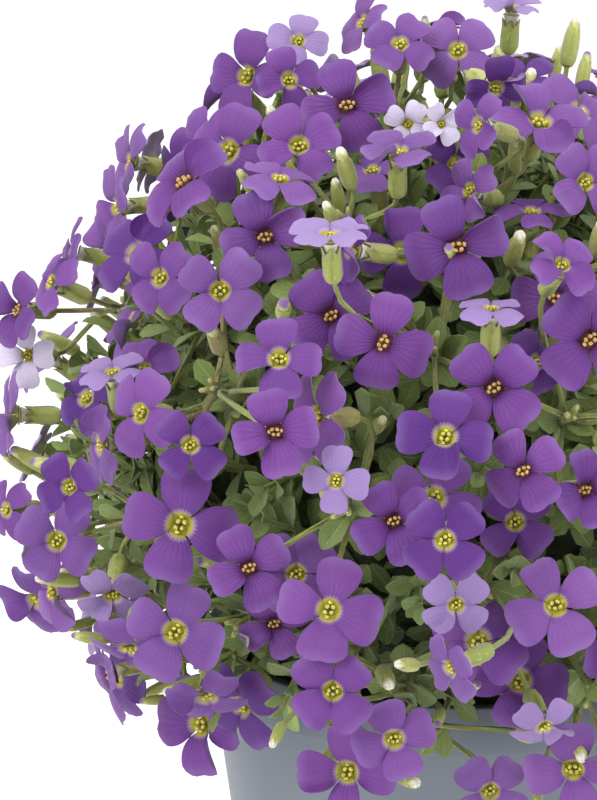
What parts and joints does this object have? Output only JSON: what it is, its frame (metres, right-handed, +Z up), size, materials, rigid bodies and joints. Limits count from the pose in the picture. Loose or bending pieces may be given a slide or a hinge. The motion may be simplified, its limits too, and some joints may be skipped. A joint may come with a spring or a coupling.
{
  "type": "potted aubrieta",
  "caption": "Violet aubrieta cushion in full flower, overhanging the rim of a plain round tapered nursery pot.",
  "frame": {"origin": "centre of the pot's flat base, on the surface that the pot stands on", "axes": "+Z up along the pot's axis; -Y is the side that the picture shows, +X is right in it"},
  "size_m": [0.1973, 0.1999, 0.2209],
  "materials": {
    "pot": "satin grey-blue plastic",
    "compost": "loose dark brown peat",
    "foliage": "matt hairy grey-green leaves",
    "flower": "matt violet petals, green calyx and stalk"
  },
  "bodies": {
    "root": {"pot": "pot", "compost": "compost", "foliage": "foliage", "spray_01": "flower", "spray_02": "flower", "spray_03": "flower", "spray_04": "flower", "spray_05": "flower", "spray_06": "flower", "spray_07": "flower", "spray_08": "flower", "spray_09": "flower", "spray_10": "flower", "spray_11": "flower", "spray_12": "flower", "spray_13": "flower", "spray_14": "flower", "spray_15": "flower", "spray_16": "flower", "spray_17": "flower", "spray_18": "flower", "spray_19": "flower", "spray_20": "flower", "spray_21": "flower", "spray_22": "flower", "spray_23": "flower", "spray_24": "flower", "spray_25": "flower", "spray_26": "flower", "spray_27": "flower", "spray_28": "flower", "spray_29": "flower", "spray_30": "flower", "spray_31": "flower", "spray_32": "flower", "spray_33": "flower", "spray_34": "flower", "spray_35": "flower", "spray_36": "flower", "spray_37": "flower", "spray_38": "flower", "spray_39": "flower", "spray_40": "flower", "spray_41": "flower", "spray_42": "flower", "spray_43": "flower", "spray_44": "flower", "spray_45": "flower", "spray_46": "flower", "spray_47": "flower", "spray_48": "flower", "spray_49": "flower", "spray_50": "flower", "spray_51": "flower", "spray_52": "flower", "spray_53": "flower", "spray_54": "flower", "spray_55": "flower", "spray_56": "flower"}
  },
  "joints": []
}
